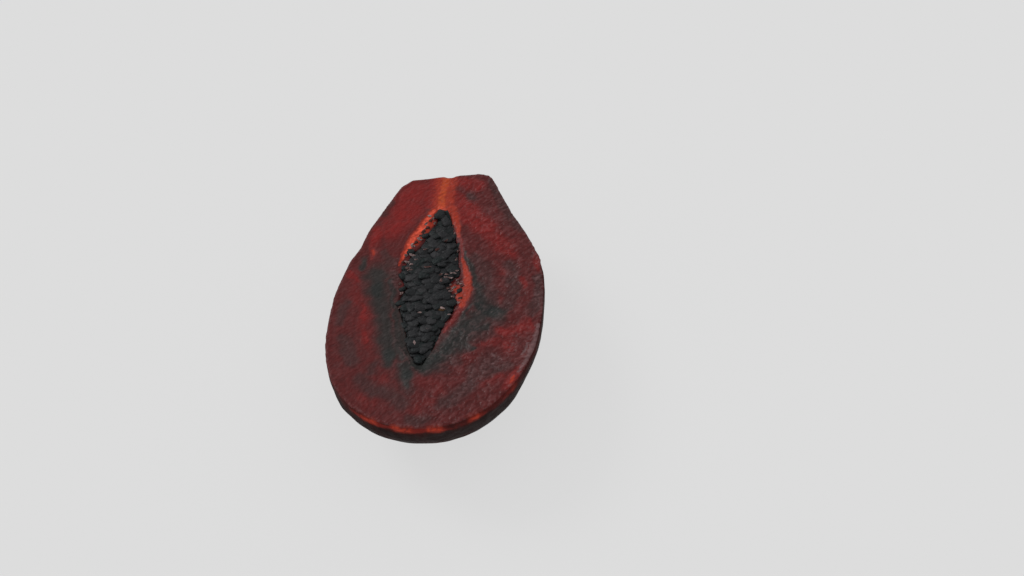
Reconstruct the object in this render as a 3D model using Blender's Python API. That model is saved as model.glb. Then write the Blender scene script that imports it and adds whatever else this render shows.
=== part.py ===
"""Half of a papaya, cut lengthwise and lying on its skin, with the seeds still in its hollow.

Metres, +Z up. The cut face looks up, the stalk end points along +Y, and the origin is on the resting
surface, under the middle of the fruit. The fruit is modelled with its cut at z = 0 and then lifted.
"""

import math
import random

import bmesh
import bpy
from mathutils import Euler, Matrix, Vector, noise

# Driving dimensions of the half
LENGTH = 0.187  # blossom end to trimmed stalk end
WIDTH = 0.122  # across the cut face at its widest
DEPTH = 0.057  # cut face to the skin below it, before the foot is flattened
NECK_WIDTH = 0.050  # across the trimmed stalk end
WIDEST_AT = -0.012  # the place along Y where the fruit is widest
FOOT_FLAT = 0.0022  # height of belly that is flattened where the half rests

# Form of the fruit
BLOSSOM_FULLNESS = 2.12  # 2 is an ellipse, more is blunter
SECTION_FULLNESS = 2.15
NECK_TAPER = 0.75  # how fast it still narrows at the stalk end, as a share of its half width
SHOULDER = 0.006  # the skin starts to turn in this far before the trimmed end
STALK_DOME = 0.015
TRIM = 0.0008  # the trimming cut takes this much off the stalk end
TRIM_SLANT = math.radians(2.0)  # and leans a little to the left
BELLY_LEAN = -0.0030  # the belly hangs a little left of the cut face's middle
BELLY_SWELL, BELLY_SWELL_SIZE = 0.0009, 0.036
SKIN_LUMP, SKIN_LUMP_SIZE = 0.00035, 0.013
FACE_WAVE, FACE_WAVE_SIZE = 0.0009, 0.024
FACE_CELL = 0.0052  # spacing of the points that follow the cut face's waves

# Dents of the rim, and bulges where the depth is negative: place across, place along, depth, radius
DENTS = (
    (-0.0590, 0.0185, 0.0019, 0.0055),
    (-0.0500, 0.0410, 0.0012, 0.0075),
    (-0.0340, 0.0740, -0.0016, 0.0120),
    (-0.0270, 0.0940, 0.0030, 0.0036),
    (0.0310, 0.0810, 0.0010, 0.0070),
    (0.0490, 0.0400, -0.0018, 0.0090),
    (-0.0480, -0.0640, -0.0036, 0.0220),
)
PIT_RADIUS, PIT_DEPTH = 0.0042, 0.0017  # where the fibre core leaves the trimmed end

# Seed hollow
HOLLOW_WIDTH = 0.0464
HOLLOW_DEPTH = 0.0175
HOLLOW_TIPS = (-0.0600, 0.0698)  # blossom side, stalk side
HOLLOW_WIDEST_AT = 0.0040
HOLLOW_POINT = (1.15, 0.90)  # sharpness of the two tips
HOLLOW_LEAN = -0.0042  # the hollow lies left of the fruit's axis
HOLLOW_SWAY, HOLLOW_SWAY_SIZE = 0.0011, 0.0120
HOLLOW_WALLS = (0.62, 1.15)  # steepness of the left and right walls: 0.5 is steep, 1.5 a gentle slope
LIP = 0.0020  # the cutter goes on this far above the cut face

# Seeds
SEED_LENGTH, SEED_WIDTH = 0.0062, 0.0048
SEED_PITCH, SEED_SCATTER = 0.0053, 0.0008
SEED_TAPER = 0.16  # one end of a seed is thinner
SEED_SIZE_SPREAD = 0.13
HEAP_EDGE, HEAP_CROWN = -0.0034, 0.0024  # height of the seeds' middles at the wall, and their rise
HEAP_JITTER = 0.0008
SEED_TILT = 0.5  # radians, the most that a seed leans either way
CORE_BELOW_SEEDS = 0.0008
CLEARANCE = 0.00045
RANDOM_SEED = 11


def remove_everything():
    for thing in list(bpy.data.objects):
        bpy.data.objects.remove(thing)


def collection(name):
    made = bpy.data.collections.new(name)
    bpy.context.scene.collection.children.link(made)
    return made


def material(name, color, roughness):
    made = bpy.data.materials.new(name)
    made.use_nodes = True
    shader = made.node_tree.nodes["Principled BSDF"]
    shader.inputs["Base Color"].default_value = (*color, 1.0)
    shader.inputs["Roughness"].default_value = roughness
    shader.inputs["Metallic"].default_value = 0.0
    return made


def mesh_object(bm, name, group):
    bmesh.ops.recalc_face_normals(bm, faces=bm.faces)
    if bm.calc_volume(signed=True) < 0:
        bmesh.ops.reverse_faces(bm, faces=bm.faces)
    mesh = bpy.data.meshes.new(name)
    bm.to_mesh(mesh)
    bm.free()
    made = bpy.data.objects.new(name, mesh)
    group.objects.link(made)
    return made


def as_cutter(thing):
    thing.hide_render = True
    thing.display_type = "WIRE"
    return thing


def boolean(thing, name, operation, **operand):
    """Adds a Boolean modifier; operand is object= or collection=."""
    step = thing.modifiers.new(name, "BOOLEAN")
    step.operation = operation
    step.solver = "EXACT"
    if "collection" in operand:
        step.operand_type = "COLLECTION"
    for key, value in operand.items():
        setattr(step, key, value)


# ---- the fruit -------------------------------------------------------------------------------


def half_width(y):
    """Half the fruit's width at y, along its pear-shaped outline."""
    if y <= WIDEST_AT:
        share = min((WIDEST_AT - y) / (WIDEST_AT + LENGTH / 2), 1.0)
        return WIDTH / 2 * (1 - share**BLOSSOM_FULLNESS) ** (1 / BLOSSOM_FULLNESS)
    s = min((y - WIDEST_AT) / (LENGTH / 2 - WIDEST_AT), 1.0)
    wide, neck = WIDTH / 2, NECK_WIDTH / 2
    leave = 2 * s**3 - 3 * s**2 + 1
    arrive = s**3 - s**2
    width = leave * wide + (1 - leave) * neck - arrive * NECK_TAPER * wide
    into_dome = (y - (LENGTH / 2 - SHOULDER)) / STALK_DOME
    if into_dome > 0:
        width *= math.sqrt(max(1 - into_dome**2, 0.0))
    return width


def fullness(cosine, sine):
    """How far a full, slightly squared section stands out from a round one."""
    n = SECTION_FULLNESS
    return (abs(cosine) ** n + abs(sine) ** n) ** (-1 / n)


def dent_depth(x, y):
    """How deep the rim is pressed in near (x, y)."""
    return sum(
        depth * math.exp(-((x - across) ** 2 + (y - along) ** 2) / (2 * radius**2))
        for across, along, depth, radius in DENTS
    )


def fruit_point(unit):
    """The skin's point for a point of the unit sphere whose poles are on Y."""
    stalk_tip = LENGTH / 2 - SHOULDER + STALK_DOME
    reach = stalk_tip - WIDEST_AT if unit.y > 0 else WIDEST_AT + LENGTH / 2
    y = WIDEST_AT + unit.y * reach
    ring = math.hypot(unit.x, unit.z)
    if ring < 1e-6:
        return Vector((0, y, 0))
    cosine, sine = unit.x / ring, unit.z / ring
    out = half_width(y) * fullness(cosine, sine)
    place = Vector((out * cosine, y, out * sine * DEPTH / (WIDTH / 2)))
    swell = BELLY_SWELL * noise.noise(place / BELLY_SWELL_SIZE)
    swell += SKIN_LUMP * noise.noise(place / SKIN_LUMP_SIZE)
    swell -= dent_depth(place.x, place.y) * abs(cosine)
    lean = Vector((BELLY_LEAN * max(-place.z, 0.0) / DEPTH, 0, 0))
    return place + lean + Vector((cosine, 0, sine)) * swell


def slice_off(bm, point, normal):
    """Cuts away what lies past the plane, and closes the cut."""
    cut = bmesh.ops.bisect_plane(
        bm,
        geom=bm.verts[:] + bm.edges[:] + bm.faces[:],
        plane_co=point,
        plane_no=normal,
        clear_outer=True,
    )
    rim = [e for e in cut["geom_cut"] if isinstance(e, bmesh.types.BMEdge)]
    bmesh.ops.edgeloop_fill(bm, edges=rim)


def whole_fruit(group):
    """The pear-shaped fruit with its foot flattened and its stalk end trimmed."""
    bm = bmesh.new()
    poles_on_y = Matrix.Rotation(math.radians(90), 4, "X")
    bmesh.ops.create_uvsphere(bm, u_segments=54, v_segments=34, radius=1, matrix=poles_on_y)
    for vert in bm.verts:
        vert.co = fruit_point(vert.co)
    lowest = min(v.co.z for v in bm.verts)
    slice_off(bm, Vector((0, 0, lowest + FOOT_FLAT)), Vector((0, 0, -1)))
    slant = Vector((-math.sin(TRIM_SLANT), math.cos(TRIM_SLANT), 0))
    slice_off(bm, Vector((0, LENGTH / 2 - TRIM, 0)), slant)
    return mesh_object(bm, "papaya_half", group)


def knife_block(group):
    """What the knife took away: a block whose underside is the gently waved cut face."""
    bm = bmesh.new()
    columns = round(1.2 * WIDTH / FACE_CELL)
    rows = round(1.12 * LENGTH / FACE_CELL)
    bmesh.ops.create_grid(bm, x_segments=columns, y_segments=rows, size=0.5)
    for vert in bm.verts:
        vert.co.x *= 1.2 * WIDTH
        vert.co.y *= 1.12 * LENGTH
        vert.co.z = FACE_WAVE * noise.noise(vert.co / FACE_WAVE_SIZE)
    raised = bmesh.ops.extrude_face_region(bm, geom=bm.faces[:])
    for item in raised["geom"]:
        if isinstance(item, bmesh.types.BMVert):
            item.co.z = 1.3 * DEPTH
    return as_cutter(mesh_object(bm, "knife_block", group))


def fibre_pit(group):
    """The shallow pit in the trimmed end, where the stalk's fibres came out."""
    bm = bmesh.new()
    middle = Vector((0, LENGTH / 2 - TRIM + PIT_RADIUS - PIT_DEPTH, -0.2 * PIT_RADIUS))
    place = Matrix.Translation(middle) @ Euler((0.4, 0.3, 0.2)).to_matrix().to_4x4()
    bmesh.ops.create_uvsphere(bm, u_segments=14, v_segments=9, radius=PIT_RADIUS, matrix=place)
    return as_cutter(mesh_object(bm, "fibre_pit", group))


# ---- the hollow ------------------------------------------------------------------------------


def hollow_end(v):
    """Which tip v points to: 0 the blossom's, 1 the stalk's."""
    return 1 if v > 0 else 0


def hollow_reach(v):
    return abs(HOLLOW_TIPS[hollow_end(v)] - HOLLOW_WIDEST_AT)


def hollow_middle(y):
    """X of the hollow's middle line, which sways a little."""
    return HOLLOW_LEAN + HOLLOW_SWAY * math.cos(y / HOLLOW_SWAY_SIZE)


def hollow_half_width(v, spare=0.0):
    half = HOLLOW_WIDTH / 2 * max(1 - v * v, 0.0) ** HOLLOW_POINT[hollow_end(v)]
    return max(half - spare * min(1.0, half / 0.004), 0.0)


def hollow_place(p, q, spare=0.0):
    """Maps a point of the unit disc onto the hollow's pointed plan."""
    y = HOLLOW_WIDEST_AT + q * (hollow_reach(q) - 1.6 * spare)
    across = p / math.sqrt(1 - q * q) if abs(q) < 0.9999 else 0.0
    return hollow_middle(y) + across * hollow_half_width(q, spare), y


def hollow_disc(x, y):
    """The point of the unit disc for a place: the middle of the hollow is (0, 0)."""
    q = (y - HOLLOW_WIDEST_AT) / hollow_reach(y - HOLLOW_WIDEST_AT)
    if abs(q) >= 1:
        return 0.0, 1.0
    return (x - hollow_middle(y)) / hollow_half_width(q) * math.sqrt(1 - q * q), q


def wall_steepness(p, q):
    """The wall's steepness in the direction of a disc point: its left wall is the steeper one."""
    left, right = HOLLOW_WALLS
    radius = max(math.hypot(p, q), 1e-6)
    return left + (right - left) * (0.5 + 0.5 * p / radius)


def hollow_floor(p, q):
    """Height of the hollow's wall at a disc point."""
    rise = max(1 - p * p - q * q, 0.0) ** wall_steepness(p, q)
    return LIP - (HOLLOW_DEPTH + LIP) * rise


def brim_radius(p, q, height):
    """The disc radius at which the wall reaches a height, in the direction of a disc point."""
    share = (LIP - height) / (HOLLOW_DEPTH + LIP)
    return math.sqrt(1 - share ** (1 / wall_steepness(p, q)))


def hollow_cutter(group):
    bm = bmesh.new()
    bmesh.ops.create_uvsphere(bm, u_segments=40, v_segments=18, radius=1)
    for vert in bm.verts:
        p, q, up = vert.co
        height = LIP + 0.3 * LIP * up if up >= -1e-6 else hollow_floor(p, q)
        vert.co = (*hollow_place(p, q), height)
    return as_cutter(mesh_object(bm, "hollow_cutter", group))


def papaya_half(group, cutters):
    half = whole_fruit(group)
    boolean(half, "stalk pit", "DIFFERENCE", object=fibre_pit(cutters))
    boolean(half, "lengthwise cut", "DIFFERENCE", object=knife_block(cutters))
    boolean(half, "seed hollow", "DIFFERENCE", object=hollow_cutter(cutters))
    half.data.materials.append(material("flesh and rind", (0.15, 0.02, 0.015), 0.6))
    return half


# ---- the seeds -------------------------------------------------------------------------------


def heap_height(x, y):
    """Height of the seeds' middles: low beside the wall, crowned over the middle."""
    p, q = hollow_disc(x, y)
    return HEAP_EDGE + HEAP_CROWN * (1 - p * p - q * q)


def seed_fits(x, y, z, reach):
    """Whether a seed at that place stays clear of the hollow's wall all round."""
    for turn in range(12):
        angle = math.tau * turn / 12
        edge_x, edge_y = x + reach * math.cos(angle), y + reach * math.sin(angle)
        if hollow_floor(*hollow_disc(edge_x, edge_y)) > z - 0.3 * SEED_WIDTH - CLEARANCE:
            return False
    return True


def nearest_fit(x, y, rise, size):
    """The seed's middle, moved inward or up where the wall is close, or None."""
    for lift in (0.0, 0.0010, 0.0020, 0.0028):
        for inward in (0.0, 0.0008, 0.0016, 0.0024):
            near = x + math.copysign(inward, hollow_middle(y) - x)
            z = heap_height(near, y) + rise + lift
            if seed_fits(near, y, z, SEED_LENGTH / 2 * size):
                return Vector((near, y, z))
    return None


def seed_places(draw):
    """Middle, turn and size of every seed that shows, on a jittered staggered grid."""
    places = []
    row_gap = SEED_PITCH * math.sqrt(3) / 2
    low, high = HOLLOW_TIPS
    for row in range(int((high - low) / row_gap)):
        y_row = low + (row + 0.5) * row_gap
        for column in range(-6, 7):
            x = HOLLOW_LEAN + (column + 0.5 * (row % 2)) * SEED_PITCH
            x += draw.uniform(-1, 1) * SEED_SCATTER
            y = y_row + draw.uniform(-1, 1) * SEED_SCATTER
            rise = draw.uniform(-1, 1) * HEAP_JITTER
            tilts = [draw.uniform(-1, 1) * SEED_TILT for _ in range(2)]
            turn = Euler((*tilts, draw.uniform(0, math.tau)))
            size = 1 + draw.uniform(-1, 1) * SEED_SIZE_SPREAD
            place = nearest_fit(x, y, rise, size)
            if place:
                places.append((place, turn, size))
    return places


def seed(name, middle, turn, size, group):
    """An ovoid seed, thinner at one end."""
    bm = bmesh.new()
    bmesh.ops.create_uvsphere(bm, u_segments=6, v_segments=4, radius=0.5)
    stand = Matrix.Rotation(math.radians(90), 4, "Y")
    for vert in bm.verts:
        taper = 1 - SEED_TAPER * 2 * vert.co.z
        vert.co.x *= SEED_WIDTH * taper
        vert.co.y *= SEED_WIDTH * taper
        vert.co.z *= SEED_LENGTH
    place = Matrix.Translation(middle) @ turn.to_matrix().to_4x4() @ stand @ Matrix.Scale(size, 4)
    bmesh.ops.transform(bm, matrix=place, verts=bm.verts)
    return mesh_object(bm, name, group)


def seed_core(group):
    """The packed seeds below the ones that show, clear of the hollow's wall."""
    bm = bmesh.new()
    bmesh.ops.create_uvsphere(bm, u_segments=26, v_segments=8, radius=1)
    brim_height = HEAP_EDGE - CORE_BELOW_SEEDS
    for vert in bm.verts:
        inside = 1 - vert.co.x**2 - vert.co.y**2
        brim = brim_radius(vert.co.x, vert.co.y, brim_height)
        p, q = brim * vert.co.x, brim * vert.co.y
        height = brim_height + HEAP_CROWN * inside
        if vert.co.z < -1e-6:
            height = hollow_floor(p, q) + CLEARANCE * inside
        vert.co = (*hollow_place(p, q, spare=1.2 * CLEARANCE), height)
    return mesh_object(bm, "seed_mass", group)


def keep_one_body(mesh):
    """Drops loose scraps, and fills hollows that fusing has sealed."""
    bm = bmesh.new()
    bm.from_mesh(mesh)
    unseen = set(bm.faces)
    largest = set()
    while unseen:
        body, reached = set(), [unseen.pop()]
        while reached:
            face = reached.pop()
            body.add(face)
            neighbours = {other for edge in face.edges for other in edge.link_faces} & unseen
            unseen -= neighbours
            reached.extend(neighbours)
        largest = max(largest, body, key=len)
    scraps = [face for face in bm.faces if face not in largest]
    bmesh.ops.delete(bm, geom=scraps, context="FACES")
    bm.to_mesh(mesh)
    bm.free()


def seed_mass(group):
    """The core and the seeds that show, fused into one solid."""
    core = seed_core(group)
    loose = collection("loose seeds")
    for number, (middle, turn, size) in enumerate(seed_places(random.Random(RANDOM_SEED))):
        seed(f"seed_{number:03d}", middle, turn, size, loose)
    boolean(core, "fused seeds", "UNION", collection=loose)
    bpy.context.view_layer.update()
    evaluated = core.evaluated_get(bpy.context.evaluated_depsgraph_get())
    fused = bpy.data.meshes.new_from_object(evaluated)
    core.modifiers.clear()
    core.data = fused
    keep_one_body(fused)
    for thing in list(loose.objects):
        bpy.data.objects.remove(thing)
    bpy.data.collections.remove(loose)
    core.data.materials.clear()
    core.data.materials.append(material("seeds", (0.014, 0.018, 0.019), 0.45))
    return core


def stand_on_origin(half, things):
    """Moves everything so that the foot is on the ground and the origin is under the middle."""
    bpy.context.view_layer.update()
    cut_half = half.evaluated_get(bpy.context.evaluated_depsgraph_get())
    corners = [Vector(corner) for corner in cut_half.bound_box]
    low, high = corners[0], corners[6]
    shift = Vector(((low.x + high.x) / 2, (low.y + high.y) / 2, low.z))
    for thing in things:
        thing.location -= shift


def main():
    remove_everything()
    parts = collection("papaya half")
    cutters = collection("cutters")
    half = papaya_half(parts, cutters)
    seeds = seed_mass(parts)
    stand_on_origin(half, [half, seeds, *cutters.objects])


main()
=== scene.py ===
"""Looks of the papaya half: moist dusky flesh, charred patches, an orange ring round the seeds, dark skin.

The papaya lies on its skin with the cut face up. Places on the cut face are given in millimetres from the
middle of the fruit's outline: across (+X), and along towards the stalk end (+Y).
"""

import math
import random

import bmesh
import bpy
import numpy as np
from mathutils import Euler, Matrix, Vector, kdtree, noise


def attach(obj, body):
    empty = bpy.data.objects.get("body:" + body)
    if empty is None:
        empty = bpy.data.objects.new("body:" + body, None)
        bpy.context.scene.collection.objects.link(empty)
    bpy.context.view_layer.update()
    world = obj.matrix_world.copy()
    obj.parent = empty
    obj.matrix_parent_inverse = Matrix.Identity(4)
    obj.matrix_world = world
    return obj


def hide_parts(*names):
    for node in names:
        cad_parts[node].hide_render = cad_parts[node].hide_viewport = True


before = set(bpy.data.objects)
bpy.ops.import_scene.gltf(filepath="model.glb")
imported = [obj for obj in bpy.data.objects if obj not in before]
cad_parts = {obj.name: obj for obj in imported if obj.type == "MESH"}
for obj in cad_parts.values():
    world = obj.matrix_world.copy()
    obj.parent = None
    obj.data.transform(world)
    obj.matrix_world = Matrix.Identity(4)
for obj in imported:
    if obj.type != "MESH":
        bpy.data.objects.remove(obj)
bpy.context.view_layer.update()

MM = 0.001

# Where the middle of the cut face lies in the part's frame
FACE_HEIGHT = 0.05526
FACE_PLACE = (0.0005, 0.0, FACE_HEIGHT)

# Light: how bright the sky is, and for each lamp its name, energy, width in degrees and direction of travel
SKY = 0.70
LIGHTS = (("key", 1.08, 25, (0.62, -0.42, -0.66)),)

# The camera: its lens and sensor in millimetres, its place, and its turn in degrees
CAMERA_LENS, CAMERA_SENSOR = 57.42, 36
CAMERA_PLACE = (0.15987, -0.59997, 0.73620)
CAMERA_TURN = (41.519, 7.004, 3.158)

# The floor: its size, its brightness in the picture, the share of it that the floor gives off by itself,
# and how pale its surface is
FLOOR_SIZE = 4
FLOOR_BRIGHTNESS = 0.723
FLOOR_GLOW = 0.87
FLOOR_PALENESS = 0.78

# The fruit's fine mesh: the size of its cells, and how often they are smoothed
FRUIT_CELL, FRUIT_SMOOTHING = 0.00084, 8

# The leathery grain of the flesh: the slant of its ridges, on the right and on the left, the sizes of its
# lumps, and its height on the left with what it gains towards the right
RIDGE_SLANT = math.radians(40)
STEEP_SLANT = math.radians(72)
RIDGE_SIZE, PEBBLE_SIZE, BROAD_SIZE = 0.0022, 0.0014, 0.0048
GRAIN_HEIGHT, GRAIN_GAIN = 0.00019, 0.00009

# Gentler relief, each as size and height: swells of the cut face, lumps of the skin, strings of pulp
SWELL_SIZE, SWELL_HEIGHT = 0.011, 0.00045
SKIN_SIZE, SKIN_HEIGHT = 0.017, 0.00050
WRINKLE_SIZE, WRINKLE_HEIGHT = 0.0060, 0.00016
PULP_SIZE, PULP_HEIGHT = 0.0022, 0.00040

# The raised edge of the cut, the groove inside it, and the ridge along the ring's lower end
EDGE_HEIGHT, EDGE_WIDTH = 0.00040, 0.0013
GROOVE_PLACE, GROOVE_WIDTH = 0.0034, 0.0014
RIDGE_HEIGHT = 0.00090

# The red band of the rim, lit in places by painted highlights: its middle below the cut's edge, how far
# that wanders, and its width; the painted grey-pink highlight along the lip just inside the edge; and the
# strip of skin beside the cut that is redder
BAND_PLACE, BAND_WANDER, BAND_WIDTH = 0.0022, 0.0014, 0.0022
LIP_HIGHLIGHT_PLACE, LIP_HIGHLIGHT_WIDTH = 0.0004, 0.0008
RIM_WIDTH = 0.0055

# Seed hollow
HOLLOW_WIDTH = 0.0464
HOLLOW_DEPTH = 0.0175
HOLLOW_TIPS = (-0.0600, 0.0698)
HOLLOW_WIDEST_AT = 0.0040
HOLLOW_POINT = (1.15, 0.90)
HOLLOW_LEAN = -0.0042
HOLLOW_SWAY, HOLLOW_SWAY_SIZE = 0.0011, 0.0120
HOLLOW_WALLS = (0.62, 1.15)
LIP = 0.0020
# The soft lining beside the seeds: how deep it starts, its slope, and how steeply it falls away under the
# seeds, in the middle and at their lower tip
LINING_TOP, LINING_SLOPE = 0.0003, 0.20
LINING_FALL, LINING_TIP_FALL = 1.6, 0.35

# Seeds: the area they fill is given as (along, left edge, right edge), in millimetres
SEED_AREA = (
    (-50, -8.6, -3.0), (-45, -12.0, -0.8), (-38, -14.6, 1.8), (-29, -16.2, 4.0), (-20, -18.8, 6.2),
    (-12, -21.0, 10.6), (-6, -23.0, 10.8), (0, -23.0, 8.4), (7, -19.4, 6.2), (12, -22.6, 7.2),
    (17, -24.0, 11.4), (25, -20.4, 10.8), (34, -18.2, 10.2), (38, -14.4, 9.4), (46, -10.8, 6.8),
    (53, -7.6, 4.4), (59, -6.0, 2.8), (65.5, -6.2, 0.6),
)
SEED_LENGTH, SEED_WIDTH, SEED_THICKNESS = 0.0066, 0.0060, 0.0020
SEED_PITCH = 0.0045
SEED_TAPER = 0.12
SEED_SIZE_SPREAD = 0.26
SEED_BLOCKINESS = 0.70
RANDOM_SEED = 11
# How far each seed strays in its row, as a share of the pitch, and how much it leans, rolls and turns
SEED_STRAY = 0.20
SEED_LEAN = math.radians(8)
SEED_ROLL, SEED_TURN = 0.22, 0.8
# How far inside their area seeds start, and how deep the two layers of seeds lie
SEED_MARGIN = 0.0024
SEED_LAYERS = (0.0, 0.0012)
# The heap's top: its height beside the flesh, what it gains in the middle, how much the seeds vary about
# it, and how much lower it is at the lower tip
HEAP_EDGE, HEAP_CROWN = -0.0022, 0.0016
HEAP_JITTER, HEAP_TIP_SINK = 0.0005, 0.0008
# The dark bed under the seeds: how far below the heap's top, how thick and how lumpy it is
BED_DROP, BED_THICKNESS = 0.0010, 0.0009
BED_LUMPS, BED_LUMP_SIZE = 0.0004, 0.0022
BED_MARGIN, BED_CLEARANCE = 0.0015, 0.0006
# How high single seeds, the tan seed and pale bits lie over the heap, and how wrinkled each kind is
SEED_LIFT, TAN_LIFT, BIT_LIFT = 0.0004, 0.0003, 0.0015
SEED_WRINKLES, TAN_WRINKLES, BIT_WRINKLES = 0.38, 0.5, 0.9
# Their thickness as a share of their width, and at most, in millimetres
SINGLE_THICKNESS, THICKEST_SINGLE = 0.7, 2.4
# The seeds at the upper tip have this much room to themselves, in millimetres
TIP_SEED_ROOM = 4.2
# Single seeds and bits: (across, along, length, width, turn in degrees, shade), the lengths in millimetres
TIP_SEEDS = ((-3.3, 62.6, 7.4, 6.0, 80, 0.4), (0.2, 56.2, 9.0, 5.4, 110, 0.6))
SMALL_SEEDS = (
    (12.4, 3.0, 3.6, 3.0, 20, 0.2), (9.4, 14.6, 4.0, 3.0, 0, 0.1), (9.2, -0.6, 3.2, 2.6, 40, 0.2),
    (-11.4, 46.4, 4.4, 3.4, 10, 0.3), (-18.6, 33.6, 4.8, 3.8, 20, 0.1), (-21.4, 15.0, 5.2, 4.2, 0, 0.1),
    (-21.4, 21.4, 4.8, 3.8, 0, 0.0), (-20.8, 5.4, 4.2, 3.2, 30, 0.1), (5.8, 44.2, 4.4, 3.2, 80, 0.2),
    (9.2, 37.6, 4.4, 3.2, 60, 0.0), (-6.6, -47.2, 5.6, 4.6, 80, 0.1),
)
TAN_SEEDS = ((3.4, -11.6, 5.2, 2.8, -18, 0.5),)
# Bits of pulp; the palest ones along the left ring and the white flecks among the seeds are painted glints
PULP_BITS_AND_GLINTS = (
    (5.4, 11.8, 4.2, 1.1, -4, 0.75), (8.6, 12.4, 2.4, 1.0, 6, 0.5), (10.8, 9.0, 2.2, 1.9, 40, 0.55),
    (8.8, 6.2, 3.0, 1.3, 25, 0.85), (6.2, 4.4, 2.8, 1.1, 12, 0.45), (13.6, 6.0, 2.2, 1.1, 8, 0.3),
    (10.4, 1.2, 2.6, 1.1, 10, 0.8), (13.4, -2.8, 2.4, 1.2, 20, 0.4), (11.2, -6.0, 3.4, 1.5, 12, 0.9),
    (14.0, -8.4, 2.2, 1.0, 40, 0.5), (12.0, 3.6, 1.8, 1.0, 15, 0.25), (9.0, -2.2, 2.0, 1.0, 5, 0.6),
    (1.4, 9.4, 2.4, 1.1, 82, 0.5), (1.0, 14.0, 2.0, 1.0, 60, 0.45), (4.8, 52.6, 2.2, 1.1, 60, 0.5),
    (-10.0, 61.2, 1.9, 1.5, 30, 1.0), (-9.0, 58.0, 2.4, 1.6, 60, 0.15),
    (-11.4, 55.6, 2.4, 1.5, 50, 0.8), (-10.4, 52.6, 2.6, 1.8, 10, 0.1),
    (-12.6, 49.6, 2.6, 1.8, 30, 0.15), (-14.2, 46.6, 2.4, 1.4, 10, 0.35),
    (-13.6, 43.6, 3.0, 1.2, 10, 0.8), (-16.4, 41.2, 2.6, 1.8, 20, 0.12),
    (-17.8, 38.4, 2.4, 1.2, 20, 0.7), (-19.2, 35.2, 2.6, 1.8, 30, 0.2),
    (-21.2, 31.4, 2.2, 1.8, 30, 0.75), (-17.4, 30.6, 3.8, 1.2, -18, 0.8),
    (-19.2, 25.2, 3.6, 1.3, -8, 0.75), (-22.4, 26.0, 2.0, 1.4, 10, 0.3),
    (-22.8, 9.0, 2.4, 1.6, 30, 0.6), (-9.8, 33.8, 2.0, 0.9, 10, 0.5), (-7.4, 19.8, 3.4, 0.8, 0, 0.45),
    (-8.6, -14.4, 1.8, 0.8, 0, 0.9), (8.0, -15.6, 1.9, 1.1, 30, 1.0), (-9.4, -36.0, 1.1, 2.0, 0, 1.0),
    (6.2, 46.6, 2.0, 1.1, 70, 0.75), (-4.0, -26.8, 2.6, 0.7, 15, 0.6), (3.9, -11.2, 2.4, 1.3, -25, 1.0),
    (2.0, 40.0, 2.2, 1.0, 40, 0.35), (-2.6, 33.0, 2.6, 1.2, 30, 0.3), (-14.0, 22.0, 2.2, 0.9, 0, 0.35),
    (7.6, 15.2, 3.0, 1.2, 0, 0.9), (9.6, 17.0, 2.2, 1.0, 20, 0.7), (6.6, 8.6, 2.6, 1.2, 10, 0.8),
    (4.2, 14.2, 2.2, 0.9, -10, 0.6), (10.2, 11.6, 1.8, 1.2, 30, 0.9), (7.4, 2.2, 2.2, 1.0, 15, 0.7),
    (11.8, 11.2, 2.0, 0.9, 40, 0.2), (12.6, 8.2, 1.6, 1.0, 10, 0.9), (-16.4, 22.8, 3.6, 1.4, -5, 0.9),
    (-18.8, 20.2, 2.6, 1.2, 10, 0.5), (-14.6, 26.4, 2.2, 1.0, -20, 0.6),
    (-17.0, 18.4, 2.8, 1.1, 0, 0.7), (8.8, 26.0, 1.8, 0.9, 70, 0.5), (9.4, 32.4, 1.8, 0.9, 70, 0.6),
    (-20.6, 1.6, 2.0, 1.2, 20, 0.7), (-20.6, -8.6, 2.0, 1.0, 40, 0.5), (-7.6, 60.0, 2.2, 1.4, 60, 0.7),
    (-6.2, 55.6, 2.0, 1.2, 50, 0.5), (-15.0, 44.6, 1.8, 1.2, 20, 0.9), (-18.6, 39.6, 1.8, 1.2, 30, 0.9),
    (-12.0, 51.6, 1.6, 1.1, 30, 0.9),
)

# Brush strokes on the cut face: each is a line of (across, along, half width), in millimetres
GLOW = (
    (
        (-5.2, 68.5, 2.4), (-8.6, 63, 2.4), (-12.6, 55, 2.2), (-16.4, 48, 2.2), (-19.8, 40.5, 2.0),
        (-21.8, 34.5, 1.6), (-23.6, 27, 1.1), (-24.4, 23.5, 0.5),
    ),
    ((-2, 66, 6.2), (-2.4, 72, 6.0), (-2.6, 80, 5.8), (-1.6, 94, 6.4)),
    ((2.4, 67, 3.4), (5.2, 59.4, 2.8), (7.8, 50.4, 1.6), (9.6, 43.5, 0.8)),
    (
        (12.2, 27.5, 0.6), (13.8, 21, 1.3), (15.8, 14, 2.2), (16.7, 7.8, 2.5), (16.7, 1, 2.5),
        (15.0, -8.6, 1.9),
    ),
    ((8, 6, 2.2), (12, 4, 2.6), (13, -3, 2.4)),
    ((-41.4, 35.6, 0.7), (-40.6, 32.4, 1.0)),
    ((-8, 57, 1.6), (-13.4, 47, 1.8), (-16.6, 40, 1.6)),
    ((45.4, -65.6, 0.6), (46.2, -63.4, 1.1), (47.0, -61.2, 0.6)),
)
DIM_GLOW = (
    ((15.2, -8, 2.0), (13.2, -13, 1.9), (10.6, -18.8, 1.6), (8.2, -23.6, 1.3), (6.2, -28, 0.7)),
    ((-42.0, 38, 1.2), (-40.8, 33.5, 2.2), (-40.8, 29, 0.8)),
    ((9.8, 43, 0.9), (11.2, 35.1, 0.8), (12.2, 27, 0.9)),
    ((44.8, -67, 1.6), (46.0, -63.5, 3.3), (47.6, -58.5, 1.7)),
)
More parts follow.
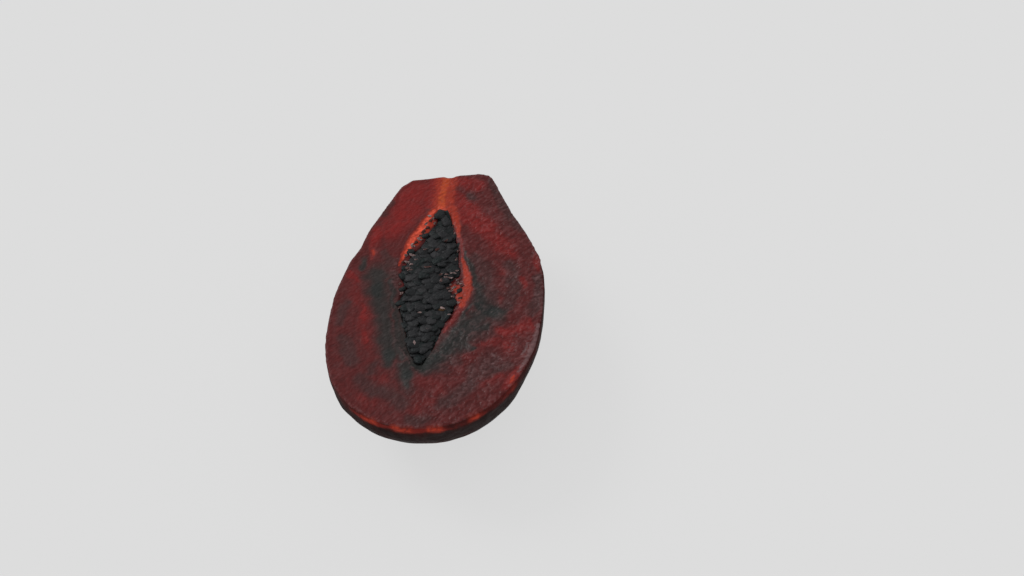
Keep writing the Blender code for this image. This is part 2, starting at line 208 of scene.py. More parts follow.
# The bright inner line of the orange ring, its own colour with painted glints, and the streak above the
# seeds
GOLD = (
    ((-3, 67, 2.4), (-3.5, 76, 1.8), (-3, 84, 1.8), (-2, 93, 2.4)),
    (
        (-7.0, 65.6, 1.0), (-9.8, 61, 1.3), (-12.2, 54.6, 1.5), (-15.9, 48.4, 1.6), (-19.2, 40, 1.6),
        (-20.9, 35, 1.2),
    ),
    ((-21.0, 35, 1.0), (-22.8, 28, 0.5)),
)
RIM_GLOW = (
    (
        (-42, -78, 1.5), (-33, -85, 3), (-22, -91, 3), (-10, -94, 4), (1, -94, 2.4), (8, -92, 3),
        (16, -89, 1.8), (25, -85, 2.2), (36, -77, 1.2), (44, -67, 2.6), (47, -58, 2.6),
    ),
)
# Painted orange highlights on the rim's red band
RIM_HIGHLIGHTS = (
    ((-34, -84.0, 1.6), (-29, -87.0, 2.6)),
    ((-15, -92, 2.2), (-10, -93.4, 3.2)),
    ((3, -93.2, 1.0), (8, -92.4, 2.4)),
    ((23, -86.4, 1.2), (27, -84.6, 2.4)),
    ((45.0, -66, 1.6), (46.6, -61, 1.6)),
)
# Charred patches; the start of the fifth stroke, along the outer edge of the right ring, is a painted
# shadow line
CHAR_AND_SHADOW_LINE = (
    (
        (-36.6, 17, 7), (-35.4, 8, 6.8), (-33, -2, 7), (-30.6, -9.5, 5.6), (-28.8, -16, 5.2),
        (-27, -24, 5.2), (-24.6, -34, 6.2), (-23, -42, 5.4), (-22.4, -50, 3),
    ),
    ((-23, -10, 2), (-21, -22, 2.4), (-18, -34, 3.4), (-16, -44, 4.5)),
    ((-13, -51, 4), (-4, -51, 5.5), (2, -45, 4.5)),
    ((-13, -54, 2.6), (-11.8, -60, 2.4), (-10.8, -66, 1.6)),
    (
        (13.6, 31, 0.7), (16.8, 22.5, 1.2), (20.4, 13, 1.8), (22.8, 3, 3.4), (24.2, -2.5, 4.4),
        (25, -10, 5.5), (31, -14, 6.5), (37, -17, 3.5),
    ),
    ((26, -16, 6.5), (21, -25, 6.5), (17, -34, 6.2), (11, -40, 6), (4, -46, 4.5)),
    ((18, -39, 4.0), (24, -41, 1.6)),
    ((24, -27, 3.5), (30, -25, 2.5)),
    (
        (19.8, -8, 1.2), (17.8, -14, 1.6), (15.2, -21, 2.0), (12.4, -27, 2.2), (9.4, -32.6, 2.4),
        (5.4, -40, 3.0),
    ),
    (
        (-19.8, -12, 1.6), (-18.4, -22, 1.8), (-15.8, -32, 2.0), (-13.4, -42, 2.6), (-7, -51, 3.4),
        (0, -47, 3.0),
    ),
    ((-46, 28, 2.4), (-45, 21, 1.8)),
    ((-28.2, 12, 1.8), (-26.6, 1, 2.6), (-24.8, -8, 2.2)),
)
TEAL = (
    ((-8, -51, 2.6), (-1, -52, 4.2), (4, -51, 3.4)),
    ((-3, -49, 4.0), (0, -46, 4.0)),
    ((-12.2, -54, 1.4), (-11.6, -60, 1.2)),
    ((-36, 8, 3.4), (-34, 2, 3)),
    ((22, -9, 1.8), (33, -14, 3.6)),
    ((18.4, -20, 1.8), (12.5, -33, 1.8), (7, -42, 2)),
    ((-24, -40, 3), (-22, -46, 2)),
)
DUSK = (
    ((12, 77, 2.0), (16, 73, 1.6)),
    ((25, 88, 2.0), (30.6, 78, 3), (34, 68, 4.4), (39, 57, 4.5), (46, 46, 3)),
    ((-38, 66, 3), (-33, 74, 2)),
    ((-34, 33, 2.4), (-29, 25, 4.2)),
    ((-51, -30, 4), (-47, -40, 4.5), (-43.5, -47, 4)),
    ((-37.4, -60, 4), (-30, -68, 4.5), (-22.6, -69, 4), (-19, -71, 4), (-12, -77, 5)),
    ((-30, -50, 3), (-33, -56, 2)),
    ((-7, -89, 3.5), (0, -88, 3.5)),
    ((12, -78, 5), (18, -71, 5), (24, -66, 3.5), (24, -55, 3.5)),
    ((33, -51, 6), (31, -57, 5), (44, -53, 3)),
    ((18.6, 25, 4.5), (25, 17, 5), (28, 6, 5.5), (32, -3, 5)),
    ((41, 19, 3.5), (43.6, 0, 4), (40, -12, 4)),
    ((57, 9, 2.2), (57.5, -6, 2.6), (54, -16, 3)),
    ((36, -20, 4), (32, -26, 4), (27, -34, 3.5)),
    ((-52, -4, 3), (-54, -18, 3.5)),
    ((-25.5, 15, 3.4), (-24.5, 4, 3.6), (-23, -7, 3.2)),
    ((-3, -56, 3), (8, -54, 3)),
    ((-14, -54, 5), (-11, -68, 4)),
    ((6, -30, 4), (2, -46, 5), (14, -48, 4)),
)
RED = (
    ((-20, 82, 9), (-24, 66, 9.5), (-31, 50, 7)),
    ((-9.5, 92, 3.5), (-10.5, 72, 4)),
    ((-38, 52, 3.5), (-41, 42, 3.5)),
    (
        (-49, 19, 3.5), (-49.6, 8, 4), (-44, -2, 4.5), (-39, -12, 4), (-41, -20, 4), (-37.6, -29, 4.5),
        (-35, -36, 3),
    ),
    ((14, 62, 7), (27, 44, 5.5), (35, 35, 6), (40, 28, 4.5)),
    ((17, 84, 4), (8, 88, 4)),
    ((6, 76, 4), (12, 66, 5), (14, 56, 4)),
    ((36, 15, 3), (41, 13, 3)),
    ((35.1, -5.6, 2.6), (41.8, -5, 2.4)),
    ((52.4, -18, 3), (50, -28, 4.5), (43, -29, 4.5), (43, -41, 3)),
    ((29, -38, 3), (36, -36, 3.5)),
    ((11, -48, 3), (18, -47, 3)),
    ((-1.3, -63, 3.5), (4.5, -67, 4.5), (9, -70, 4)),
    ((31, -64, 4), (38, -62, 4)),
    ((-26, -58, 3), (-23.5, -62, 3)),
    ((-30, -76, 4), (-36, -72, 3)),
    ((-6, -80, 4), (2, -77, 4)),
    ((46, -64, 3), (47, -58, 2)),
)
VIVID = (
    ((48.1, 7.4, 1.5), (48.8, 2.4, 1.3)),
    ((55.2, 26, 1.8), (56.0, 20, 2.4), (56.4, 15, 1.4)),
    ((53.7, -20.8, 2.0), (54.6, -28.8, 2.0)),
    ((37, -28.7, 2.6), (44, -30.6, 3.2), (49, -27, 2.6)),
    ((42.6, -40.2, 1.3), (43.4, -41.2, 1.2)),
    ((39, 28.6, 2.4), (41, 26, 2.4)),
    ((-53, 18, 1.8), (-46.6, 12.7, 2.4)),
    ((-42.0, -6, 1.4), (-40.4, -17, 1.6)),
    ((-39.4, -27, 2.4), (-37.6, -33, 2.2)),
    ((-23.4, -8.6, 1.7), (-22.6, -15.0, 1.5)),
    ((43.0, -68, 2.4), (47.0, -61, 3.8), (49.2, -55, 2.0)),
)
# Painted highlights: thin grey-pink sheen along the lower right edge of the cut face, and small lit spots
SHEEN_LINES = (
    ((58.4, -26, 1.0), (57.2, -36, 1.8), (55.2, -43, 1.6), (52.6, -51, 1.1), (49.0, -58, 0.8)),
    ((53.6, -38, 0.6), (50.4, -46, 0.7)),
    ((33.4, -45.2, 0.6), (34.6, -46.2, 0.5)),
    ((37.6, -47.4, 0.5), (39.4, -49, 0.6)),
)
# Painted grey-pink sheen, partly the flesh's own paler tone
SHEEN_AND_PALE_HAZE = (
    ((-26.6, 18, 2.2), (-25.6, 10, 2.4), (-22.6, 5, 1.6)),
    ((57.2, 10, 2.2), (56.6, -4, 3.0), (58.2, -14, 2.0)),
    ((56.6, -30, 3.0), (53.6, -44, 3.8), (49.4, -54, 3.4)),
    ((30, -55, 4.2), (39, -50, 3.4)),
    ((22, -66, 3.6), (29, -61, 3.0)),
    ((43, -47, 3.4), (46, -33, 3.4)),
    ((20, 59, 2.4), (26, 61, 2.0)),
)

# Dips and ridges of the cut face: (across, along, half length, half width, turn in degrees, height)
DIPS = (
    (29, -14, 9, 6, 25, -0.9), (38, -19, 9, 2.5, 20, 0.6), (17, -36, 5, 4, 30, -0.6),
    (-31, 0, 9, 14, 10, -0.5), (12, 77, 7, 5, 0, -0.5), (-41, 34, 3, 4, 0, -0.7),
    (-48, 27, 3, 3, 0, -0.6), (33, -52, 8, 7, 30, -0.6), (24, -44, 12, 2, 35, 0.5),
    (21, 60, 7, 2, 35, 0.5), (-14, -64, 3, 8, 20, -0.7), (20, 4, 2, 14, -5, -0.5),
    (2, -62, 12, 3, 20, 0.4), (46, 10, 5, 9, 0, 0.4), (45, -33, 4.5, 1.0, 62, 0.5),
    (48, -42, 4, 0.9, 70, 0.5), (38, -47, 4, 0.9, 38, 0.5), (34, -55, 3, 0.9, 60, 0.5),
    (31, -44, 3.5, 0.9, 20, 0.45), (50, -27, 3.5, 0.9, 75, 0.45), (38, -21, 7, 1.1, 18, 0.5),
    (27, -27, 4, 1.0, 25, 0.4), (41, -6, 4, 0.9, 30, 0.4), (27, 25, 4, 0.9, 40, 0.35),
    (16, -62, 3, 0.9, 40, 0.4), (25, -72, 4, 1.0, 35, 0.4), (-20, -46, 3, 1.0, 50, 0.6),
    (-14, -50, 3.5, 0.9, 55, 0.6),
)

# How far the patches stray from their strokes, in millimetres, and over what length, in metres
LOOSE, CLOSE = 2.4, 0.9
WANDER_SIZE = 0.006
# The patches of the flesh: name, strokes, how far they stray, and the softness of their edges
FLESH_MASKS = (
    ("glow", GLOW, CLOSE, 0.75),
    ("dim_glow", DIM_GLOW, CLOSE, 0.7),
    ("gold", GOLD, CLOSE, 0.8),
    # charred patches, with a painted shadow line along the right ring
    ("char_and_shadow_line", CHAR_AND_SHADOW_LINE, LOOSE, 0.9),
    ("teal", TEAL, LOOSE, 0.95),
    ("dusk", DUSK, LOOSE, 0.95),
)
VIVID_SHARE, SHEEN_AND_PALE_HAZE_SHARE = 0.72, 0.26

# How strongly the flesh, the skin and the seeds mirror
FLESH_GLOSS, SKIN_GLOSS, SEED_GLOSS = 0.13, 0.015, 0.14

# Where the photographed outline lies outside (+) or inside (-) the solid's, in millimetres: on both sides
# by the place along, at the trimmed end by the place across, and on the belly by the direction in degrees
LEFT_SHIFT = (
    (-30, 0), (-10, -0.5), (8, 0), (14, 0.6), (20, 1.3), (26, 1.1), (32, 0.5), (38, 0.4), (44, 1.1),
    (50, 1.6), (56, 1.5), (62, 0.8), (68, -0.2), (80, 0), (86, 0.5),
)
RIGHT_SHIFT = (
    (-20, 0), (-4, 0.7), (8, 1.6), (14, 2.4), (26, 2.7), (32, 1.5), (38, 0.1), (56, -0.3), (74, -0.2),
    (86, 0.8),
)
END_SHIFT = ((-28, 0), (-10, 1.0), (0, 1.6), (10, 1.4), (18, 0.8), (24, 0))
BELLY_SHIFT = (
    (-180, 0), (-152, 0.6), (-140, 1.1), (-126, 1.2), (-112, 0.3), (-96, -0.2), (-80, -1.2),
    (-56, -1.0), (-38, -0.8), (-24, -0.2), (0, 0), (180, 0),
)

# Colours, as linear red, green and blue
BRICK = (0.092, 0.0120, 0.0118)
BRIGHT_RED = (0.195, 0.0100, 0.0088)
DUSKY = (0.048, 0.0210, 0.0205)
# Charred patches, and the painted shadow line along the right ring
CHARCOAL = (0.0260, 0.0225, 0.0212)
DARK_TEAL = (0.0150, 0.0190, 0.0180)
ORANGE = (0.330, 0.0300, 0.0130)
# Bright orange of the ring's inner line, with painted glints
EMBER = (0.720, 0.0940, 0.0490)
OCHRE = (0.420, 0.0600, 0.0150)
RIM_RED = (0.175, 0.0180, 0.0135)
# Orange of the painted highlights on the rim's band
RIM_ORANGE = (0.370, 0.0420, 0.0220)
FADED_RED = (0.180, 0.0215, 0.0200)
# Grey-pink of the painted highlights and sheen: on crests, along the lip and in the sheen patches
GREY_PINK = (0.165, 0.0900, 0.0920)
SKIN_DARK = (0.0150, 0.0075, 0.0070)
SKIN_RED = (0.055, 0.0105, 0.0095)
SEED_TEAL = (0.0065, 0.0120, 0.0118)
SEED_DARK = (0.0118, 0.0122, 0.0135)
SEED_LIGHT = (0.0330, 0.0325, 0.0345)
BROWN = (0.050, 0.0240, 0.0080)
TAN = (0.160, 0.0800, 0.0280)
PULP_DARK = (0.045, 0.0120, 0.0090)
# Pale pulp, and the pale bits that are painted glints
PALE_PULP_AND_GLINT = (0.340, 0.2500, 0.2400)

# Patches painted over the flesh, in this order: mask, scale and amount of the raggedness of its edge,
# softness, strength and colour
PATCHES = (
    # charred patches, with a painted shadow line along the right ring
    ("char_and_shadow_line", 240.0, 0.35, 0.62, 1.0, CHARCOAL),
    ("teal", 300.0, 0.4, 0.62, 0.75, DARK_TEAL),
    ("dim_glow", 420.0, 0.7, 0.5, 0.75, FADED_RED),
    # painted grey-pink sheen, partly the flesh's own paler tone
    ("sheen_and_pale_tone", 700.0, 1.0, 0.5, 0.8, GREY_PINK),
)


# ---- the hollow's form -----------------------------------------------------------------------


def hollow_reach(v):
    """Length of the hollow from its widest place to the upper tip (v above 0) or the lower one."""
    return abs(HOLLOW_TIPS[1 if v > 0 else 0] - HOLLOW_WIDEST_AT)


def hollow_middle(y):
    return HOLLOW_LEAN + HOLLOW_SWAY * math.cos(y / HOLLOW_SWAY_SIZE)


def hollow_half_width(v):
    return HOLLOW_WIDTH / 2 * max(1 - v * v, 0.0) ** HOLLOW_POINT[1 if v > 0 else 0]


def hollow_disc(x, y):
    """The point of the unit disc for a place: (0, 0) is the middle of the hollow, 1 its edge."""
    q = (y - HOLLOW_WIDEST_AT) / hollow_reach(y - HOLLOW_WIDEST_AT)
    if abs(q) >= 1:
        return 0.0, 1.0
    p = (x - hollow_middle(y)) / max(hollow_half_width(q), 1e-5) * math.sqrt(1 - q * q)
    return p, q


def wall_steepness(p, q):
    left, right = HOLLOW_WALLS
    return left + (right - left) * (0.5 + 0.5 * p / max(math.hypot(p, q), 1e-6))


def hollow_floor(p, q):
    rise = max(1 - p * p - q * q, 0.0) ** wall_steepness(p, q)
    return LIP - (HOLLOW_DEPTH + LIP) * rise


def seed_area(y):
    """Left and right edge of the seeds at a place along the fruit."""
    along, left, right = np.array(SEED_AREA).T * MM
    return float(np.interp(y, along, left)), float(np.interp(y, along, right))


def area_depth(x, y):
    """How far inside the seeds' area a place lies; negative outside it."""
    left, right = seed_area(y)
    low, high = SEED_AREA[0][0] * MM, SEED_AREA[-1][0] * MM
    return min(x - left, right - x, y - low + 0.001, high - y + 0.001)


def heap_height(x, y):
    """Height of the heap's top: crowned across, and sunk towards its lower tip."""
    left, right = seed_area(y)
    across = (2 * x - left - right) / max(right - left, 1e-5)
    near_tip = float(smoothstep(-0.034, -0.050, y))
    return HEAP_EDGE + HEAP_CROWN * (1 - min(across * across, 1)) - HEAP_TIP_SINK * near_tip


def by_tip_seed(x, y):
    return any(math.hypot(x / MM - tip[0], y / MM - tip[1]) < TIP_SEED_ROOM for tip in TIP_SEEDS)


def seed_places(draw, offset, sink):
    """Middle, turn and size of every seed of one layer, laid like shingles with the near edges raised."""
    places = []
    row_gap = SEED_PITCH * math.sqrt(3) / 2
    low, high = SEED_AREA[0][0] * MM, SEED_AREA[-1][0] * MM
    for row in range(int((high - low) / row_gap)):
        for column in range(-6, 7):
            stray = draw.uniform(-1, 1) * SEED_STRAY
            x = HOLLOW_LEAN + (column + 0.5 * (row % 2) + offset + stray) * SEED_PITCH
            y = low + (row + 0.5 + offset + draw.uniform(-1, 1) * SEED_STRAY) * row_gap
            rise = draw.uniform(-1.4, 1) * HEAP_JITTER - sink
            turn = Euler((-SEED_LEAN * draw.uniform(0.2, 1.8), draw.uniform(-SEED_ROLL, SEED_ROLL), 0))
            turn.rotate(Euler((0, 0, draw.uniform(-SEED_TURN, SEED_TURN))))
            size = 1 + draw.uniform(-1, 1) * SEED_SIZE_SPREAD
            if area_depth(x, y) > SEED_MARGIN * size and not by_tip_seed(x, y):
                places.append((Vector((x, y, heap_height(x, y) + rise)), turn, size))
    return places


# ---- fields of points ------------------------------------------------------------------------


def smoothstep(low, high, value):
    share = np.clip((value - low) / (high - low), 0, 1)
    return share * share * (3 - 2 * share)


def bell(distance, width):
    """1 at no distance, falling off smoothly over about the width."""
    return np.exp(-((distance / width) ** 2))


def lumps(points, size, turn=0.0, stretch=1.0, shift=0.0):
    """Smooth noise, -1 to 1, with lumps of about that size, drawn out along a direction in the plane."""
    cosine, sine = math.cos(turn), math.sin(turn)
    along = (points[:, 0] * cosine + points[:, 1] * sine) / (size * stretch) + shift
    across = (points[:, 1] * cosine - points[:, 0] * sine) / size
    up = points[:, 2] / size
    return np.array([noise.noise(Vector(place)) for place in zip(along, across, up)])


def stroke_mask(places, strokes, soft):
    """How strongly brush strokes cover places on the cut face, 0 to 1."""
    cover = np.zeros(len(places))
    for stroke in strokes:
        for (ax, ay, ar), (bx, by, br) in zip(stroke, stroke[1:]):
            start, line = np.array((ax, ay)), np.array((bx - ax, by - ay))
            share = np.clip((places - start) @ line / (line @ line), 0, 1)
            gap = np.linalg.norm(places - start - share[:, None] * line, axis=1)
            radius = ar + (br - ar) * share
            cover = np.maximum(cover, 1 - smoothstep(1 - soft, 1 + soft, gap / radius))
    return cover


def get_points(mesh, what="vertices", key="co"):
    values = np.empty(len(getattr(mesh, what)) * 3, np.float32)
    getattr(mesh, what).foreach_get(key, values)
    return values.reshape(-1, 3).astype(float)


def set_mask(mesh, name, values):
    layer = mesh.attributes.new(name, "FLOAT", "POINT")
    layer.data.foreach_set("value", np.asarray(values, np.float32))


# ---- pieces ----------------------------------------------------------------------------------


def add_object(name, mesh):
    made = bpy.data.objects.new(name, mesh)
    bpy.context.scene.collection.objects.link(made)
    return made


def remeshed_copy(node, cell, rounds):
    """A fine, even copy of a CAD node with its edges slightly rounded."""
    bm = bmesh.new()
    bm.from_mesh(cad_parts[node].data)
    bmesh.ops.remove_doubles(bm, verts=bm.verts, dist=1e-6)
    rough = bpy.data.meshes.new(node + "_rough")
    bm.to_mesh(rough)
    bm.free()
    holder = add_object(node + "_rough", rough)
    remesh = holder.modifiers.new("even cells", "REMESH")
    remesh.mode = "VOXEL"
    remesh.voxel_size = cell
    bpy.context.view_layer.update()
    evaluated = holder.evaluated_get(bpy.context.evaluated_depsgraph_get())
    fine = bpy.data.meshes.new_from_object(evaluated)
    bpy.data.objects.remove(holder)
    bm = bmesh.new()
    bm.from_mesh(fine)
    every_way = {"use_axis_x": True, "use_axis_y": True, "use_axis_z": True}
    for _ in range(rounds):
        bmesh.ops.smooth_vert(bm, verts=bm.verts, factor=0.5, **every_way)
    bm.to_mesh(fine)
    bm.free()
    fine.update()
    return fine


def rim_distance(points, normals, in_hollow):
    """Distance of every point from the rim of the cut, positive on the skin and negative on the flesh."""
    on_level = np.abs(points[:, 2]) < 0.0022
    rim = on_level & ~in_hollow & (normals[:, 2] > 0.35) & (normals[:, 2] < 0.82)
    places = points[rim]
    tree = kdtree.KDTree(len(places))
    for index, place in enumerate(places):
        tree.insert(place, index)
    tree.balance()
    distance = np.array([tree.find(place)[2] for place in points])
    return np.where(normals[:, 2] > 0.6, -distance, distance)


def true_outline(points):
    """The points, moved so that the outline follows the photographed one more closely."""
    x, y, z = points.T
    out = []
    for table in (LEFT_SHIFT, RIGHT_SHIFT, END_SHIFT):
        place, shift = np.array(table).T * MM
        out.append(np.interp(x if table is END_SHIFT else y, place, shift))
    sideways = out[1] * smoothstep(0.0215, 0.0315, x) - out[0] * smoothstep(-0.0215, -0.0315, x)
    along = out[2] * smoothstep(0.080, 0.091, y)
    direction, shift = np.array(BELLY_SHIFT).T
    swell = np.interp(np.degrees(np.arctan2(y, x)), direction, shift) * MM
    swell *= smoothstep(-0.002, -0.016, z) * smoothstep(-0.0535, -0.040, z)
    outward = swell / np.maximum(np.hypot(x, y), MM)
    return points + np.stack([sideways + outward * x, along + outward * y, np.zeros(len(z))], axis=1)


def pulp_lining(local, discs):
    """Height of the soft lining that fills the gap between the hollow's edge and the seeds."""
    half = np.array([hollow_half_width(q) for q in discs[:, 1]])
    middle = np.array([hollow_middle(y) for y in local[:, 1]])
    inward = np.maximum(half - np.abs(local[:, 0] - middle), 0)
    under_seeds = np.array([area_depth(x, y) for x, y in local[:, :2]])
    near_tip = smoothstep(-0.036, -0.048, local[:, 1])
    fall = LINING_FALL + (LINING_TIP_FALL - LINING_FALL) * near_tip
    return -LINING_TOP - LINING_SLOPE * inward - fall * np.maximum(under_seeds - 0.0006, 0)


def cut_papaya():
    """Flesh and skin in one piece, with the cut face's grain and the skin's wrinkles in its surface."""
    mesh = remeshed_copy("papaya_half", FRUIT_CELL, FRUIT_SMOOTHING)
    normals = get_points(mesh, "vertex_normals", "vector")
    local = true_outline(get_points(mesh) - np.array(FACE_PLACE))
    discs = np.array([hollow_disc(x, y) for x, y in local[:, :2]])
    radius = np.hypot(discs[:, 0], discs[:, 1])
    in_hollow = (radius < 0.99) & (local[:, 2] > -HOLLOW_DEPTH - LIP) & (normals[:, 2] > -0.2)
    filled = np.maximum(local[:, 2], pulp_lining(local, discs))
    local[:, 2] = np.where(in_hollow, filled, local[:, 2])
    from_rim = rim_distance(local, normals, in_hollow)
    trimmed = smoothstep(0.75, 0.9, normals[:, 1]) * (local[:, 1] > 0.090)
    faces_up = smoothstep(0.45, 0.75, normals[:, 2]) * (local[:, 2] > -0.0035)
    flesh = np.maximum(np.maximum(faces_up, in_hollow), trimmed)
    wall = in_hollow * smoothstep(-0.0005, -0.0030, local[:, 2])
    pebbles = grain(local)
    raised = local + normals * relief(local, pebbles, flesh, wall, from_rim)[:, None]
    mesh.vertices.foreach_set("co", (raised + np.array(FACE_PLACE)).ravel())
    mesh.update()
    paint_masks(mesh, local, pebbles, flesh, from_rim)
    paint_flesh_and_skin(mesh, flesh)
    mesh.shade_smooth()
    return add_object("cut_papaya", mesh)


def grain(local):
    """The leathery grain of the cut face, -1 to 1: slanting ridges, steeper left, faint upper left."""
    right = smoothstep(-0.022, 0.006, local[:, 0])
    plain = smoothstep(-0.030, 0.030, local[:, 1]) * (1 - smoothstep(0.000, 0.030, local[:, 0]))
    slanting = lumps(local, RIDGE_SIZE, RIDGE_SLANT, 1.4, 7.0)
    steep = lumps(local, RIDGE_SIZE, STEEP_SLANT, 1.3, 3.0)
    pebbles = lumps(local, PEBBLE_SIZE, RIDGE_SLANT)
    broad = lumps(local, BROAD_SIZE, RIDGE_SLANT, 1.3, 13.0)
    uneven = 1.4 * (slanting * right + steep * (1 - right)) + 1.4 * pebbles + 0.9 * broad
    return np.clip(uneven * (0.55 + 0.45 * right) * (1 - 0.5 * plain), -1, 1)


def dips(local):
    """The larger dips and ridges of the cut face, in metres."""
    height = np.zeros(len(local))
    for across, along, half_length, half_width, turn, size in DIPS:
        cosine, sine = math.cos(math.radians(turn)), math.sin(math.radians(turn))
        x, y = local[:, 0] / MM - across, local[:, 1] / MM - along
        reach = ((x * cosine + y * sine) / half_length) ** 2 + ((y * cosine - x * sine) / half_width) ** 2
        height += size * MM * np.exp(-1.4 * reach)
    return height


def relief(local, pebbles, flesh, wall, from_rim):
    """How far each point stands proud, in metres."""
    right = smoothstep(-0.010, 0.030, local[:, 0])
    swells = lumps(local, SWELL_SIZE, math.radians(30), 1.4, 3.0)
    face = pebbles * (GRAIN_HEIGHT + GRAIN_GAIN * right) + SWELL_HEIGHT * swells + dips(local)
    edge = bell(from_rim, EDGE_WIDTH) - 0.8 * bell(from_rim + GROOVE_PLACE, GROOVE_WIDTH)
    face += EDGE_HEIGHT * edge * (0.6 + 0.4 * lumps(local, 0.009, shift=5.0))
    face += RIDGE_HEIGHT * stroke_mask(local[:, :2] / MM, DIM_GLOW[:1], 0.9)
    skin = SKIN_HEIGHT * lumps(local, SKIN_SIZE, shift=2.0)
    skin += WRINKLE_HEIGHT * lumps(local, WRINKLE_SIZE, shift=4.0)
    pulp = PULP_HEIGHT * lumps(local, PULP_SIZE, math.radians(70), 2.2, 9.0)
    out = face * flesh * (1 - wall) + skin * (1 - flesh) + pulp * wall
    resting = smoothstep(0.001, 0.006, local[:, 2] + FACE_HEIGHT)
    return out * resting


def paint_masks(mesh, local, pebbles, flesh, from_rim):
    """Stores what the materials read: where the patches of colour, of painted shadow and of painted
    highlight, the rim and the skin lie.
    """
    places = local[:, :2] / MM
    wander = np.stack([lumps(local, WANDER_SIZE, shift=shift) for shift in (20.0, 30.0)], axis=1)
    loose = places + LOOSE * wander
    close = places + CLOSE * wander
    on_face = flesh * smoothstep(-0.0170, -0.0080, local[:, 2])
    for name, strokes, stray, soft in FLESH_MASKS:
        set_mask(mesh, name, stroke_mask(places + stray * wander, strokes, soft) * on_face)
    redder = 0.40 + 0.60 * smoothstep(0.020, 0.055, local[:, 1])
    redder += 0.15 * smoothstep(0.015, 0.035, local[:, 0])
    vivid = VIVID_SHARE * stroke_mask(loose, VIVID, 0.8)
    set_mask(mesh, "red", np.maximum(stroke_mask(loose, RED, 0.95) * redder, vivid) * on_face)
    # Painted sheen: grey-pink highlight lines, and a haze that is partly the flesh's own paler tone
    sheen_and_pale_haze = SHEEN_AND_PALE_HAZE_SHARE * stroke_mask(loose, SHEEN_AND_PALE_HAZE, 0.95)
    set_mask(mesh, "sheen_and_pale_tone", np.maximum(stroke_mask(close, SHEEN_LINES, 0.8), sheen_and_pale_haze) * on_face)
    middle = BAND_PLACE + BAND_WANDER * lumps(local, 0.0070, shift=50.0)
    band = bell(from_rim - middle, BAND_WIDTH) * (0.95 + 0.6 * lumps(local, 0.0060, shift=40.0))
    # The rim's red band and its painted orange highlights
    for name, strokes in (("rim_glow", RIM_GLOW), ("rim_highlights", RIM_HIGHLIGHTS)):
        set_mask(mesh, name, stroke_mask(places, strokes, 0.9) * band)
    set_mask(mesh, "rim", bell(from_rim, RIM_WIDTH))
    # A painted highlight along the lip just inside the cut's edge
    set_mask(mesh, "lit_lip_of_cut", bell(from_rim + LIP_HIGHLIGHT_PLACE, LIP_HIGHLIGHT_WIDTH) * on_face)
    set_mask(mesh, "rind", 1 - flesh)
    set_mask(mesh, "dull", 1 - smoothstep(-0.035, 0.015, local[:, 0]))
    set_mask(mesh, "ring", smoothstep(0.071, 0.065, local[:, 1]))
    set_mask(mesh, "grain", pebbles)


def paint_flesh_and_skin(mesh, flesh):
    """Gives every face one of the two finishes."""
    for name, gloss in (("flesh", FLESH_GLOSS), ("skin", SKIN_GLOSS)):
        mesh.materials.append(papaya_finish(name, gloss))
    for polygon in mesh.polygons:
        polygon.material_index = int(flesh[polygon.vertices[0]] < 0.5)


def add_seed(bm, middle, turn, scale, draw, layers, shade, wrinkles):
    """One flat, wrinkled seed with a blocky outline."""
    made = bmesh.ops.create_uvsphere(bm, u_segments=12, v_segments=7, radius=0.5)["verts"]
    own = Vector((draw.uniform(0, 50), draw.uniform(0, 50), draw.uniform(0, 50)))
    length, width, thickness = scale
    for vert in made:
        vert[layers["edge"]] = 1 - abs(vert.co.y) * 2
        vert[layers["shade"]] = shade
        for axis in range(3):
            vert.co[axis] = math.copysign(0.5 * abs(vert.co[axis] * 2) ** SEED_BLOCKINESS, vert.co[axis])
        vert.co *= 1 + wrinkles * noise.noise(vert.co * 2.2 + own)
        taper = 1 - SEED_TAPER * 2 * vert.co.z
        vert.co = (vert.co.z * length, vert.co.x * width * taper, vert.co.y * thickness * taper)
    place = Matrix.Translation(middle) @ turn.to_matrix().to_4x4()
    bmesh.ops.transform(bm, matrix=place, verts=made)


def face_to_frame(place):
    return place + Vector(FACE_PLACE)


def seed_piece(name, listed, material, wrinkles):
    """One piece of many seeds, each its own closed shell; listed holds middle, turn, scale and shade."""
    draw = random.Random(RANDOM_SEED + 1)
    bm = bmesh.new()
    layers = {key: bm.verts.layers.float.new(key) for key in ("shade", "edge")}
    for middle, turn, scale, shade in listed:
        add_seed(bm, face_to_frame(middle), turn, scale, draw, layers, shade, wrinkles)
    mesh = bpy.data.meshes.new(name)
    bm.to_mesh(mesh)
    bm.free()
    mesh.shade_smooth()
    mesh.materials.append(material)
    return add_object(name, mesh)


def single_seeds(spots, lift):
    """Seeds or bits set down one by one, on the heap or on the flesh beside it."""
    listed = []
    for across, along, length, width, turn, shade in spots:
        x, y = across * MM, along * MM
        scale = (length * MM, width * MM, min(width * SINGLE_THICKNESS, THICKEST_SINGLE) * MM)
        height = heap_height(x, y) + lift
        if area_depth(x, y) < 0:
            height = pulp_lining(np.array([[x, y, 0.0]]), np.array([hollow_disc(x, y)]))[0]
        listed.append((Vector((x, y, height)), Euler((0, 0, math.radians(turn))), scale, shade))
    return listed


